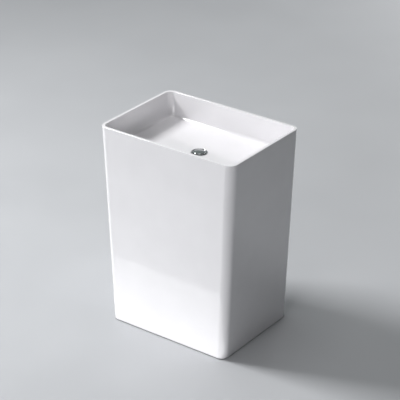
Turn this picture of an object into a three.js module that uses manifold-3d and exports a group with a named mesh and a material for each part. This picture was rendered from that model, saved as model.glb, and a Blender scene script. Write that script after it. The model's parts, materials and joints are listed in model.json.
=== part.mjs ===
// A free-standing pedestal sink in solid surface: a tapered shell with a dished basin floor bonded
// into its top, a click-clack drain, a bottle trap and levelling feet.
// Millimetres, +Z up, front towards -Y, back (the wall side) towards +Y.
// The origin is the middle of the base, on the floor.

import * as THREE from 'three';
import { mergeVertices } from 'three/addons/utils/BufferGeometryUtils.js';
import Module from 'manifold-3d';

const wasm = await Module();
wasm.setup();

// ---- Driving dimensions -------------------------------------------------------------------------

// Pedestal
const WIDTH = 600;
const DEPTH = 425;
const HEIGHT = 800;
const WALL = 12;
const CORNER_R = 34;          // upright outer corners
const SIDE_LEAN = 36;         // how far each side comes in from the rim to the floor
const FRONT_LEAN = 5;
const BASE_GAP = 3;           // shadow gap between the shell and the floor
const RIM_ROUND = 1.5;
const BACK_OPENING_WIDTH = 300;
const BACK_OPENING_DROP = 62; // from the underside of the basin floor to the opening's head
const BACK_OPENING_R = 40;

// Basin
const BASIN_DEPTH = 100;      // rim to the edge of the basin floor
const FLOOR_FALL = 4;         // fall from the floor's edge to the drain
const FLOOR_THICK = 14;       // at the drain
const COVE_R = 12;
const COVE_LAND = 1.2;        // flat top edge of the cove
const DRAIN_LAND = 5;         // level ring around the flange
const RECESS_DEPTH = 4.5;     // the flange sits in this

// Battens under the basin floor and rails in the base
const BATTEN_WIDTH = 20;
const BATTEN_HEIGHT = 23;
const RAIL_WIDTH = 48;
const RAIL_HEIGHT = 26;

// Levelling feet
const PAD_R = 16;
const PAD_THICK = 5;
const STUD_R = 5;
const FOOT_NUT_FLATS = 17;
const FOOT_NUT_HEIGHT = 5;
const FOOT_NUT_RISE = 0.7;    // from the pad to the nut
const INSERT_WALL = 1.8;
const STUD_ABOVE_RAIL = 8;
const FOOT_INSET = 38;        // from the rail's end to the foot's centre

// Drain
const FLANGE_R = 31;
const FLANGE_THICK = 1.2;
const FLANGE_LIP = 2.2;       // width of the flange's raised rim
const FLANGE_PROUD = 1.8;     // rim above the basin floor
const FLANGE_CLEAR = 1;       // between the flange and the edge of its recess
const TUBE_R = 21;            // outside of the threaded tube
const TUBE_WALL = 3.5;
const SEAL_BORE_WALL = 1.7;   // tube wall where the plug's seal slides
const TUBE_BELOW_FLOOR = 50;
const HOLE_CLEAR = 1.5;       // between the tube and the hole in the basin floor
const GASKET_THICK = 1.2;
const UNDER_SEAL_THICK = 3;
const UNDER_SEAL_WIDTH = 9;
const SLIP_WASHER_THICK = 1.5;
const LOCK_NUT_WALL = 3.7;    // from the thread to a flat
const LOCK_NUT_HEIGHT = 10;

// Click-clack plug
const CAP_GAP = 5.6;          // open ring between the cap and the flange's rim
const CAP_CLEAR = 0.5;        // between the cap and the flange's dish, pushed right down
const CAP_EDGE = 3.2;         // height of the cap's side
const CAP_ROUND = 1.6;        // round between the cap's side and its top
const CAP_RISE = 0.8;         // height of the dome
const BOSS_R = 10;
const PUSH = 2;               // travel below the closed place, which frees the latch
const LIFT = 9;               // travel above it
const SEAL_THICK = 3;
const SEAL_DROP = 1;          // from the mouth of its bore to the seal, closed
const SEAL_PLAY = 0.6;        // below the seal, pushed right down
const CAP_BORE_ROOF = 2.5;    // from the cap's rim down to the top of the stem's screw
const STUD_CAP_R = 4;         // screw between the stem and the cap
const PLATE_CLEAR = 1.5;      // between the stem's plate and the tube's bore
const PLATE_THICK = 2.5;
const NECK_R = 4;
const ROD_R = 3;
const CARTRIDGE_R = 8;
const CARTRIDGE_WALL = 2;
const CARTRIDGE_BASE = 4;
const CARTRIDGE_TOP_Z = -22;
const CARTRIDGE_LENGTH = 38;
const CARTRIDGE_LIP = 3;      // width of the lip that sits on the hub
const CARTRIDGE_LIP_THICK = 2;
const CARTRIDGE_CAP_THICK = 3;
const ROTOR_CLEAR = 0.4;      // between the rotor and the cartridge's bore
const ROTOR_HEIGHT = 6;
const SHOULDER_DROP = 10;     // from the cartridge's top to the stem's shoulder, closed
const SPRING_WIRE_R = 0.4;
const SPRING_TURNS = 7;
const SPIDER_HEIGHT = 8;
const SPIDER_ARM = 4;
const SPIDER_HUB_WALL = 3.7;

// Bottle trap
const PIPE_R = 16;
const PIPE_WALL = 1.4;
const WASHER_THICK = 2;
const CONE_WASHER_THICK = 3;
const PIPE_FLANGE_THICK = 2;
const NUT_WALL = 5.7;         // from the thread to the ribs
const NUT_RIB = 1.2;
const NUT_LIP = 3;
const NUT_SKIRT = 17;         // threaded height of a nut
const TRAP_R = 30;
const TRAP_WALL = 3;
const TRAP_NECK = 16;         // height of the threaded neck
const TRAP_TOP_DROP = 20;     // from the end of the drain's tube to the top of the neck
const TRAP_BODY_HEIGHT = 92;
const TRAP_SHOULDER = 8;
const BRANCH_DROP = 42;       // from the top of the neck to the outlet's axis
const BRANCH_REACH = 62;      // from the trap's axis to the end of its branch
const DIP_BELOW_OUTLET = 70;  // how far the inlet tube reaches below the outlet's axis
const CUP_WALL = 3.2;
const CUP_THREAD = 12;
const CUP_HEIGHT = 98;
const CUP_BASE = 4;
const CUP_GRIPS = 8;
const CUP_GRIP_R = 5;
const CUP_SEAL_THICK = 2.4;
const WALL_FLANGE_R = 35;
const WALL_FLANGE_THICK = 8;
const WALL_FLANGE_SKIN = 1.6;

// Fits
const GAP = 0.3;              // between pieces that touch
const BOND = 0.35;            // between bonded faces, which the lean narrows a little
const SIDES = 32;             // facets of a round piece
const SMALL_SIDES = 16;       // facets of a small one
const CORNER_STEPS = 8;       // facets of a rounded corner

// Heights worked out from these
const floorEdgeZ = HEIGHT - BASIN_DEPTH;
const drainZ = floorEdgeZ - FLOOR_FALL;
const undersideZ = drainZ - FLOOR_THICK;
const railZ = PAD_THICK + FOOT_NUT_RISE + FOOT_NUT_HEIGHT + GAP;
const holeR = TUBE_R + HOLE_CLEAR;
const recessR = FLANGE_R + FLANGE_CLEAR;
const tubeBoreR = TUBE_R - TUBE_WALL;
const sealBoreR = TUBE_R - SEAL_BORE_WALL;
const threadClearR = TUBE_R + GAP;
const nutR = threadClearR + NUT_WALL;

// ---- Materials ----------------------------------------------------------------------------------

const finishes = {
  solid_surface: { color: 0xf4f4f6, roughness: 0.2, metalness: 0 },
  chrome: { color: 0xd8dadc, roughness: 0.08, metalness: 1 },
  brass: { color: 0xc9a75a, roughness: 0.3, metalness: 1 },
  steel: { color: 0xb4b7ba, roughness: 0.35, metalness: 1 },
  rubber: { color: 0x1d1d1f, roughness: 0.8, metalness: 0 },
  white_plastic: { color: 0xe9e9e6, roughness: 0.4, metalness: 0 },
};

const sink = new THREE.Group();

function piece(parent, name, finish, geometry) {
  const mesh = new THREE.Mesh(geometry, new THREE.MeshStandardMaterial(finishes[finish]));
  mesh.name = name;
  parent.add(mesh);
  return mesh;
}

// ---- Solids -------------------------------------------------------------------------------------

function toSolid(geometry) {
  const bare = geometry.clone();
  bare.deleteAttribute('normal');
  bare.deleteAttribute('uv');
  const merged = mergeVertices(bare, 1e-4);
  const index = merged.index.array;
  const kept = [];
  for (let i = 0; i < index.length; i += 3) {
    const [a, b, c] = [index[i], index[i + 1], index[i + 2]];
    if (a !== b && b !== c && c !== a) kept.push(a, b, c);
  }
  const mesh = new wasm.Mesh({
    numProp: 3,
    vertProperties: new Float32Array(merged.attributes.position.array),
    triVerts: new Uint32Array(kept),
  });
  return new wasm.Manifold(mesh);
}

function toGeometry(solid) {
  const mesh = solid.getMesh();
  const geometry = new THREE.BufferGeometry();
  geometry.setAttribute('position', new THREE.BufferAttribute(mesh.vertProperties, 3));
  geometry.setIndex(new THREE.BufferAttribute(mesh.triVerts, 1));
  geometry.computeVertexNormals();
  return geometry;
}

function cut(geometry, ...tools) {
  return toGeometry(tools.reduce((solid, tool) => solid.subtract(toSolid(tool)), toSolid(geometry)));
}

function join(geometry, ...others) {
  return toGeometry(others.reduce((solid, other) => solid.add(toSolid(other)), toSolid(geometry)));
}

function overlap(geometry, other) {
  return toGeometry(toSolid(geometry).intersect(toSolid(other)));
}

// A solid of revolution about Z. The profile is [radius, z] points that run out along the bottom,
// up the outside and in along the top, from axis to axis.
function turned(profile, sides = SIDES) {
  const points = profile.map(([r, z]) => new THREE.Vector2(r, z));
  return new THREE.LatheGeometry(points, sides).rotateX(Math.PI / 2);
}

// The same for a ring, whose profile closes on itself.
function turnedRing(profile, sides = SIDES) {
  return turned([...profile, profile[0]], sides);
}

function tube(outerR, innerR, z0, z1, sides = SIDES) {
  return turnedRing([[innerR, z0], [outerR, z0], [outerR, z1], [innerR, z1]], sides);
}

function rod(radius, z0, z1, sides = SIDES) {
  return turned([[0, z0], [radius, z0], [radius, z1], [0, z1]], sides);
}

function slab(outline, z0, z1, hole) {
  const shape = new THREE.Shape(outline);
  if (hole) shape.holes.push(new THREE.Path(hole));
  const geometry = new THREE.ExtrudeGeometry(shape, { depth: z1 - z0, bevelEnabled: false });
  return geometry.translate(0, 0, z0);
}

function block(x0, x1, y0, y1, z0, z1) {
  const geometry = new THREE.BoxGeometry(x1 - x0, y1 - y0, z1 - z0);
  return geometry.translate((x0 + x1) / 2, (y0 + y1) / 2, (z0 + z1) / 2);
}

// A ring-shaped solid drawn through closed loops of points, the last loop joined to the first.
// Loops run anticlockwise seen from above: up the outside, in over the top, down the inside.
function loopedRing(loops) {
  const size = loops[0].length;
  const index = [];
  loops.forEach((loop, k) => {
    const here = k * size;
    const next = ((k + 1) % loops.length) * size;
    for (let i = 0; i < size; i += 1) {
      const j = (i + 1) % size;
      index.push(here + i, here + j, next + j);
      index.push(here + i, next + j, next + i);
    }
  });
  const geometry = new THREE.BufferGeometry().setFromPoints(loops.flat());
  geometry.setIndex(index);
  geometry.computeVertexNormals();
  return geometry;
}

// ---- The pedestal's form ------------------------------------------------------------------------

// Where a point of the upright, untapered pedestal lies on the real one: the sides lean in evenly
// and the front leans back, more towards the floor. The back stays upright against the wall.
function leaned(x, y, z) {
  const share = 1 - z / HEIGHT;
  const back = DEPTH / 2;
  return new THREE.Vector3(
    x * (1 - share * SIDE_LEAN / (WIDTH / 2)),
    back - (back - y) * (1 - share * FRONT_LEAN / DEPTH),
    z,
  );
}

function leanedGeometry(geometry) {
  const position = geometry.attributes.position;
  for (let i = 0; i < position.count; i += 1) {
    const point = leaned(position.getX(i), position.getY(i), position.getZ(i));
    position.setXYZ(i, point.x, point.y, point.z);
  }
  return geometry;
}

// The pedestal's plan, inset from its outer face, as points anticlockwise from +X.
function planOutline(inset) {
  const radius = Math.max(CORNER_R - inset, 1);
  const x = WIDTH / 2 - inset - radius;
  const y = DEPTH / 2 - inset - radius;
  const centres = [[x, y], [-x, y], [-x, -y], [x, -y]];
  const points = [];
  centres.forEach(([cx, cy], corner) => {
    for (let i = 0; i <= CORNER_STEPS; i += 1) {
      const angle = (corner + i / CORNER_STEPS) * Math.PI / 2;
      points.push(new THREE.Vector2(cx + radius * Math.cos(angle), cy + radius * Math.sin(angle)));
    }
  });
  return points;
}

function planLoop(inset, z) {
  return planOutline(inset).map((p) => leaned(p.x, p.y, z));
}

// A circle with as many points as a plan loop, evenly spaced.
function roundLoop(radius, z) {
  const count = 4 * (CORNER_STEPS + 1);
  return Array.from({ length: count }, (_, i) => {
    const angle = (i + 0.5) / count * 2 * Math.PI;
    return new THREE.Vector3(radius * Math.cos(angle), radius * Math.sin(angle), z);
  });
}

function pedestalShell() {
  const rounded = [];
  const inward = [];
  for (const angle of [0, 30, 60, 90].map(THREE.MathUtils.degToRad)) {
    const side = RIM_ROUND * (1 - Math.cos(angle));
    const up = HEIGHT - RIM_ROUND * (1 - Math.sin(angle));
    rounded.push(planLoop(side, up));
    inward.unshift(planLoop(WALL - side, up));
  }
  const body = loopedRing([planLoop(0, BASE_GAP), ...rounded, ...inward, planLoop(WALL, BASE_GAP)]);
  const head = undersideZ - BACK_OPENING_DROP;
  const half = BACK_OPENING_WIDTH / 2;
  const arch = new THREE.Shape();
  arch.moveTo(-half, -BASE_GAP);
  arch.lineTo(half, -BASE_GAP);
  arch.lineTo(half, head - BACK_OPENING_R);
  arch.absarc(half - BACK_OPENING_R, head - BACK_OPENING_R, BACK_OPENING_R, 0, Math.PI / 2);
  arch.absarc(-half + BACK_OPENING_R, head - BACK_OPENING_R, BACK_OPENING_R, Math.PI / 2, Math.PI);
  const depth = WALL * 3;
  const opening = new THREE.ExtrudeGeometry(arch, { depth, bevelEnabled: false, curveSegments: 8 });
  opening.rotateX(Math.PI / 2).translate(0, DEPTH / 2 + WALL, 0);
  return cut(body, opening);
}

function basinFloor() {
  const seat = WALL + BOND;
  const cove = [];
  for (let i = 0; i <= 5; i += 1) {
    const angle = i / 5 * Math.PI / 2;
    const inset = seat + COVE_LAND + COVE_R * (1 - Math.cos(angle));
    cove.push(planLoop(inset, floorEdgeZ + COVE_R * (1 - Math.sin(angle))));
  }
  return loopedRing([
    planLoop(seat, undersideZ),
    planLoop(seat, floorEdgeZ + COVE_R),
    ...cove,
    roundLoop(recessR + DRAIN_LAND, drainZ),
    roundLoop(recessR, drainZ),
    roundLoop(recessR, drainZ - RECESS_DEPTH),
    roundLoop(holeR, drainZ - RECESS_DEPTH),
    roundLoop(holeR, undersideZ),
  ]);
}

// A strip bonded to the inside of the shell: the part of the inner plan that lies in a box.
function bondedStrip(x0, x1, y0, y1, z0, z1) {
  const plan = slab(planOutline(WALL + BOND), z0, z1);
  return leanedGeometry(overlap(plan, block(x0, x1, y0, y1, z0 - 1, z1 + 1)));
}

piece(sink, 'pedestal_shell', 'solid_surface', pedestalShell());
piece(sink, 'basin_floor', 'solid_surface', basinFloor());

// ---- Battens and rails --------------------------------------------------------------------------

const insideX = WIDTH / 2 - WALL;
const insideY = DEPTH / 2 - WALL;
const battenTop = undersideZ - BOND;
const battenBase = battenTop - BATTEN_HEIGHT;
const battenY = insideY - BATTEN_WIDTH;
for (const [name, x0, x1, y0, y1] of [
  ['front', -insideX, insideX, -insideY, -battenY],
  ['back', -insideX, insideX, battenY, insideY],
  ['left', -insideX, -insideX + BATTEN_WIDTH, -battenY + BOND, battenY - BOND],
  ['right', insideX - BATTEN_WIDTH, insideX, -battenY + BOND, battenY - BOND],
]) {
  const strip = bondedStrip(x0, x1, y0, y1, battenBase, battenTop);
  piece(sink, `floor_batten_${name}`, 'solid_surface', strip);
}

const railInX = insideX - RAIL_WIDTH;
const railTop = railZ + RAIL_HEIGHT;
const boreR = STUD_R + GAP + INSERT_WALL + GAP;
const footPlaces = [];
for (const [side, sign] of [['left', -1], ['right', 1]]) {
  for (const [end, y] of [['front', -insideY + FOOT_INSET], ['back', insideY - FOOT_INSET]]) {
    const place = leaned(sign * (insideX - RAIL_WIDTH / 2), y, railZ + RAIL_HEIGHT / 2);
    footPlaces.push({ name: `${end}_${side}`, side, x: place.x, y: place.y });
  }
}
for (const [side, x0, x1] of [['left', -insideX, -railInX], ['right', railInX, insideX]]) {
  const rail = bondedStrip(x0, x1, -insideY, insideY, railZ, railTop);
  const bores = footPlaces.filter((foot) => foot.side === side).map((foot) => {
    return rod(boreR, railZ - 1, railTop + 1, SMALL_SIDES).translate(foot.x, foot.y, 0);
  });
  piece(sink, `base_rail_${side}`, 'solid_surface', cut(rail, ...bores));
}
const frontRailX = railInX - BOND;
const frontRailY = -insideY + RAIL_WIDTH;
const frontRail = bondedStrip(-frontRailX, frontRailX, -insideY, frontRailY, railZ, railTop);
piece(sink, 'base_rail_front', 'solid_surface', frontRail);

// ---- Levelling feet -----------------------------------------------------------------------------

function polygon(flats, sides) {
  const radius = flats / 2 / Math.cos(Math.PI / sides);
  return Array.from({ length: sides }, (_, i) => {
    const angle = (i + 0.5) / sides * 2 * Math.PI;
    return new THREE.Vector2(radius * Math.cos(angle), radius * Math.sin(angle));
  });
}

function circle(radius, sides = SIDES) {
  return Array.from({ length: sides }, (_, i) => {
    const angle = i / sides * 2 * Math.PI;
    return new THREE.Vector2(radius * Math.cos(angle), radius * Math.sin(angle));
  });
}

for (const { name, x, y } of footPlaces) {
  const foot = new THREE.Group();
  foot.position.set(x, y, 0);
  sink.add(foot);
  const studTop = railTop + STUD_ABOVE_RAIL;
  const padAndStud = turned([
    [0, 0], [PAD_R - 1, 0], [PAD_R, 1], [PAD_R, PAD_THICK - 1], [PAD_R - 1, PAD_THICK],
    [STUD_R, PAD_THICK], [STUD_R, studTop - 1], [STUD_R - 1, studTop], [0, studTop],
  ], SMALL_SIDES);
  piece(foot, `levelling_foot_${name}`, 'steel', padAndStud);
  const nutZ = railZ - GAP - FOOT_NUT_HEIGHT;
  const nutHole = circle(STUD_R + GAP, SMALL_SIDES);
  const nut = slab(polygon(FOOT_NUT_FLATS, 6), nutZ, nutZ + FOOT_NUT_HEIGHT, nutHole);
  piece(foot, `foot_nut_${name}`, 'steel', nut);
  const insert = tube(boreR - GAP, STUD_R + GAP, railZ, railTop, SMALL_SIDES);
  piece(foot, `foot_insert_${name}`, 'brass', insert);
}

// ---- Drain, seen from the basin floor's surface at z = 0 ----------------------------------------

const drain = new THREE.Group();
drain.position.z = drainZ;
sink.add(drain);

const gasketZ = -RECESS_DEPTH + GAP;
const flangeZ = gasketZ + GASKET_THICK + GAP;
const dishZ = flangeZ + FLANGE_THICK;
const dishR = FLANGE_R - FLANGE_LIP;
const capRimZ = dishZ + PUSH + CAP_CLEAR;
const sealZ = dishZ - SEAL_BORE_WALL - SEAL_DROP - SEAL_THICK;
const seatZ = sealZ - PUSH - SEAL_PLAY;
const tubeEndZ = -FLOOR_THICK - TUBE_BELOW_FLOOR;
const cartridgeEndZ = CARTRIDGE_TOP_Z - CARTRIDGE_LENGTH;
const cartridgeBore = CARTRIDGE_R - CARTRIDGE_WALL;
const rotorR = cartridgeBore - ROTOR_CLEAR;
const hubTopZ = cartridgeEndZ + CARTRIDGE_BASE + SPIDER_HEIGHT;

function drainBody() {
  const edge = 0.8;
  const body = turnedRing([
    [TUBE_R, tubeEndZ], [TUBE_R, flangeZ], [FLANGE_R, flangeZ], [FLANGE_R, FLANGE_PROUD - edge],
    [FLANGE_R - edge, FLANGE_PROUD], [dishR + edge, FLANGE_PROUD], [dishR, FLANGE_PROUD - edge],
    [dishR, dishZ], [TUBE_R, dishZ], [sealBoreR, dishZ - SEAL_BORE_WALL], [sealBoreR, seatZ],
    [tubeBoreR, seatZ - (TUBE_WALL - SEAL_BORE_WALL)], [tubeBoreR, tubeEndZ],
  ]);
  const hubZ = hubTopZ - SPIDER_HEIGHT;
  const armEnd = (TUBE_R + tubeBoreR) / 2;
  const hubR = CARTRIDGE_R + GAP + SPIDER_HUB_WALL;
  const hubMid = hubR - SPIDER_HUB_WALL / 2;
  const arms = [0, 1, 2].map((i) => {
    const arm = block(hubMid, armEnd, -SPIDER_ARM / 2, SPIDER_ARM / 2, hubZ, hubTopZ);
    return arm.rotateZ(i * 2 * Math.PI / 3);
  });
  return join(body, tube(hubR, CARTRIDGE_R + GAP, hubZ, hubTopZ), ...arms);
}

piece(drain, 'drain_body', 'chrome', drainBody());
const gasketR = FLANGE_R - 1;
const gasket = tube(gasketR, holeR, gasketZ, gasketZ + GASKET_THICK);
piece(drain, 'flange_seal', 'rubber', gasket);

const underSealR = TUBE_R + UNDER_SEAL_WIDTH;
const underSealTop = -FLOOR_THICK - GAP;
const slipTop = underSealTop - UNDER_SEAL_THICK - GAP;
const lockTop = slipTop - SLIP_WASHER_THICK - GAP;
const underSeal = turnedRing([
  [threadClearR, underSealTop - UNDER_SEAL_THICK], [underSealR, underSealTop - UNDER_SEAL_THICK],
  [underSealR, underSealTop - 1], [underSealR - 1, underSealTop], [threadClearR, underSealTop],
]);
piece(drain, 'underside_seal', 'rubber', underSeal);
const slipWasher = tube(underSealR - 1, threadClearR, slipTop - SLIP_WASHER_THICK, slipTop);
piece(drain, 'slip_washer', 'white_plastic', slipWasher);
const lockOutline = polygon(2 * (threadClearR + LOCK_NUT_WALL), 6);
const lockNut = slab(lockOutline, lockTop - LOCK_NUT_HEIGHT, lockTop, circle(threadClearR));
piece(drain, 'lock_nut', 'brass', lockNut);

// ---- Click-clack plug, closed -------------------------------------------------------------------

const plateR = tubeBoreR - PLATE_CLEAR;
const plateTop = sealZ - GAP;
const plateZ = plateTop - PLATE_THICK;
const bossZ = plateTop + GAP;
const studTopZ = capRimZ - CAP_BORE_ROOF;

function plugCap() {
  const capR = dishR - CAP_GAP;
  const edgeTop = capRimZ + CAP_EDGE;
  const screwR = STUD_CAP_R + GAP;
  const arris = 0.4;
  const top = [];
  for (let i = 0; i <= 3; i += 1) {
    const angle = i / 3 * Math.PI / 2;
    top.push([capR - CAP_ROUND * (1 - Math.cos(angle)), edgeTop - CAP_ROUND * (1 - Math.sin(angle))]);
  }
  for (let i = 1; i <= 4; i += 1) {
    const share = Math.cos(i / 4 * Math.PI / 2);
    top.push([(capR - CAP_ROUND) * share, edgeTop + CAP_RISE * (1 - share * share)]);
  }
  return turned([
    [0, studTopZ + GAP], [screwR, studTopZ + GAP], [screwR, bossZ], [BOSS_R, bossZ],
    [BOSS_R, capRimZ], [capR - arris, capRimZ], [capR, capRimZ + arris], ...top,
  ]);
}

piece(drain, 'plug_cap', 'chrome', plugCap());
const plugSealR = sealBoreR - GAP;
const sealArris = 0.8;
const plugSeal = turnedRing([
  [BOSS_R + GAP, sealZ], [plugSealR - sealArris, sealZ], [plugSealR, sealZ + sealArris],
  [plugSealR, sealZ + SEAL_THICK - sealArris], [plugSealR - sealArris, sealZ + SEAL_THICK],
  [BOSS_R + GAP, sealZ + SEAL_THICK],
]);
piece(drain, 'plug_seal', 'rubber', plugSeal);

const shoulderZ = CARTRIDGE_TOP_Z - SHOULDER_DROP;
const rodEndZ = cartridgeEndZ - LIFT + CARTRIDGE_BASE - 1;
const stem = turned([
  [0, rodEndZ], [ROD_R - 0.5, rodEndZ], [ROD_R, rodEndZ + 0.5], [ROD_R, shoulderZ],
  [NECK_R, shoulderZ], [NECK_R, plateZ], [plateR, plateZ], [plateR, plateTop],
  [STUD_CAP_R, plateTop], [STUD_CAP_R, studTopZ], [0, studTopZ],
], SMALL_SIDES);
piece(drain, 'plug_stem', 'brass', stem);

const lipZ = hubTopZ + GAP;
const cartridge = turnedRing([
  [ROD_R + GAP, cartridgeEndZ], [CARTRIDGE_R, cartridgeEndZ], [CARTRIDGE_R, lipZ],
  [CARTRIDGE_R + CARTRIDGE_LIP, lipZ],
  [CARTRIDGE_R + CARTRIDGE_LIP, lipZ + CARTRIDGE_LIP_THICK],
  [CARTRIDGE_R, lipZ + CARTRIDGE_LIP_THICK], [CARTRIDGE_R, CARTRIDGE_TOP_Z],
  [cartridgeBore, CARTRIDGE_TOP_Z], [cartridgeBore, cartridgeEndZ + CARTRIDGE_BASE],
  [ROD_R + GAP, cartridgeEndZ + CARTRIDGE_BASE],
], SMALL_SIDES);
piece(drain, 'cartridge_body', 'brass', cartridge);
const cartridgeCapZ = CARTRIDGE_TOP_Z + GAP;
const cartridgeCapTop = cartridgeCapZ + CARTRIDGE_CAP_THICK;
const cartridgeCap = tube(CARTRIDGE_R, NECK_R + GAP, cartridgeCapZ, cartridgeCapTop, SMALL_SIDES);
piece(drain, 'cartridge_cap', 'white_plastic', cartridgeCap);

const rotorTop = shoulderZ - GAP;
const rotorZ = rotorTop - ROTOR_HEIGHT;
const rotorRing = tube(rotorR, ROD_R + GAP, rotorZ, rotorTop, SMALL_SIDES);
const rotorSlots = [0, 1, 2, 3].map((i) => {
  const slot = block(rotorR - 1, rotorR + 1, -0.8, 0.8, rotorZ + 2, rotorTop + 1);
  return slot.rotateZ(i * Math.PI / 2);
});
piece(drain, 'index_rotor', 'white_plastic', cut(rotorRing, ...rotorSlots));

class Helix extends THREE.Curve {
  constructor(radius, z0, z1, turns) {
    super();
    Object.assign(this, { radius, z0, z1, turns });
  }

  getPoint(t, target = new THREE.Vector3()) {
    const angle = t * this.turns * 2 * Math.PI;
    const z = this.z0 + (this.z1 - this.z0) * t;
    return target.set(this.radius * Math.cos(angle), this.radius * Math.sin(angle), z);
  }
}

function plugSpring() {
  const z0 = cartridgeEndZ + CARTRIDGE_BASE + GAP + SPRING_WIRE_R;
  const z1 = rotorZ - GAP - SPRING_WIRE_R;
  const section = new THREE.Shape();
  section.absarc(0, 0, SPRING_WIRE_R, 0, 2 * Math.PI);
  return new THREE.ExtrudeGeometry(section, {
    curveSegments: 3,
    steps: SPRING_TURNS * 12,
    extrudePath: new Helix((ROD_R + cartridgeBore) / 2, z0, z1, SPRING_TURNS),
  });
}

piece(drain, 'plug_spring', 'steel', plugSpring());

// ---- Bottle trap, seen from the end of the drain's tube at z = 0 --------------------------------

const trap = new THREE.Group();
trap.position.z = drainZ + tubeEndZ;
sink.add(trap);

const pipeBoreR = PIPE_R - PIPE_WALL;
const pipeClearR = PIPE_R + GAP;
const washerR = TUBE_R - GAP;
const neckTop = -TRAP_TOP_DROP;
const branchZ = neckTop - BRANCH_DROP;
const trapEndZ = neckTop - TRAP_BODY_HEIGHT;

// A ribbed union nut about Z, its lip at the bottom. The bore takes the thread down to lipTop.
function unionNut(lipTop) {
  const ribs = 12;
  const outline = Array.from({ length: ribs * 4 }, (_, i) => {
    const radius = i % 4 < 2 ? nutR : nutR - NUT_RIB;
    const angle = (i + 0.5) / (ribs * 4) * 2 * Math.PI;
    return new THREE.Vector2(radius * Math.cos(angle), radius * Math.sin(angle));
  });
  const body = slab(outline, lipTop - NUT_LIP, lipTop + NUT_SKIRT);
  const thread = rod(threadClearR, lipTop, lipTop + NUT_SKIRT + 1);
  return cut(body, thread, rod(pipeClearR, lipTop - NUT_LIP - 1, lipTop + 1));
}

const inletWasherZ = -GAP - WASHER_THICK;
const inletFlangeZ = inletWasherZ - GAP - PIPE_FLANGE_THICK;
const dipEndZ = branchZ - DIP_BELOW_OUTLET;
piece(trap, 'inlet_nut', 'chrome', unionNut(inletFlangeZ - GAP));
const inletWasher = tube(washerR, pipeBoreR, inletWasherZ, inletWasherZ + WASHER_THICK);
piece(trap, 'inlet_washer', 'rubber', inletWasher);
const inletTube = turnedRing([
  [pipeBoreR, dipEndZ], [PIPE_R, dipEndZ], [PIPE_R, inletFlangeZ], [washerR, inletFlangeZ],
  [washerR, inletFlangeZ + PIPE_FLANGE_THICK], [pipeBoreR, inletFlangeZ + PIPE_FLANGE_THICK],
]);
piece(trap, 'inlet_tube', 'chrome', inletTube);

// A cone washer about Z that grips the pipe, its wide face down at z.
function coneWasher(z) {
  return turnedRing([
    [pipeClearR, z], [washerR, z], [washerR - 1, z + CONE_WASHER_THICK],
    [pipeClearR, z + CONE_WASHER_THICK],
  ]);
}

const topWasherZ = neckTop + GAP;
const topLip = topWasherZ + CONE_WASHER_THICK + GAP;
const topNut = unionNut(0).rotateX(Math.PI).translate(0, 0, topLip);
piece(trap, 'top_washer', 'rubber', coneWasher(topWasherZ));
piece(trap, 'top_nut', 'chrome', topNut);

function trapBody() {
  const neckBase = neckTop - TRAP_NECK;
  const wallTop = neckBase - TRAP_SHOULDER;
  const cavityR = TRAP_R - TRAP_WALL;
  const outside = turned([
    [0, trapEndZ], [TRAP_R, trapEndZ], [TRAP_R, wallTop], [TRAP_R - 3, wallTop + 5],
    [TUBE_R, neckBase], [TUBE_R, neckTop], [0, neckTop],
  ]);
  const branch = rod(TUBE_R, 0, BRANCH_REACH).rotateX(-Math.PI / 2).translate(0, 0, branchZ);
  const cavity = turned([
    [0, trapEndZ - 1], [cavityR, trapEndZ - 1], [cavityR, wallTop - 1],
    [pipeClearR, neckBase - TRAP_WALL], [pipeClearR, neckTop + 1], [0, neckTop + 1],
  ]);
  const outlet = rod(pipeClearR, 0, BRANCH_REACH + 1).rotateX(-Math.PI / 2).translate(0, 0, branchZ);
  return cut(join(outside, branch), cavity, outlet);
}

piece(trap, 'trap_body', 'chrome', trapBody());

const cupTop = trapEndZ + CUP_THREAD;
const ledgeZ = trapEndZ - CUP_SEAL_THICK - 2 * GAP;
const cupBoreR = TRAP_R + GAP;
const cupR = cupBoreR + CUP_WALL;
const cupInR = TRAP_R - TRAP_WALL;
function trapCup() {
  const end = cupTop - CUP_HEIGHT;
  return turned([
    [0, end], [cupR - 6, end], [cupR - 2, end + 2], [cupR, end + 6], [cupR, cupTop],
    [cupBoreR, cupTop], [cupBoreR, ledgeZ], [cupInR, ledgeZ], [cupInR, end + CUP_BASE + 4],
    [cupInR - 4, end + CUP_BASE], [0, end + CUP_BASE],
  ]);
}

const grips = Array.from({ length: CUP_GRIPS }, (_, i) => {
  const base = cupTop - CUP_HEIGHT;
  const grip = rod(CUP_GRIP_R, base + CUP_BASE + 6, ledgeZ - 8);
  return grip.translate(cupR + CUP_GRIP_R - 1, 0, 0).rotateZ((i + 0.5) / CUP_GRIPS * 2 * Math.PI);
});
piece(trap, 'trap_cup', 'chrome', cut(trapCup(), ...grips));
const cupSeal = tube(TRAP_R, cupInR + GAP, ledgeZ + GAP, ledgeZ + GAP + CUP_SEAL_THICK);
piece(trap, 'cup_seal', 'rubber', cupSeal);

// ---- Waste to the wall, along +Y from the trap's axis at z = 0 -----------------------------------

const waste = new THREE.Group();
waste.position.set(0, 0, drainZ + tubeEndZ + branchZ);
waste.rotation.x = -Math.PI / 2;
sink.add(waste);

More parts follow.
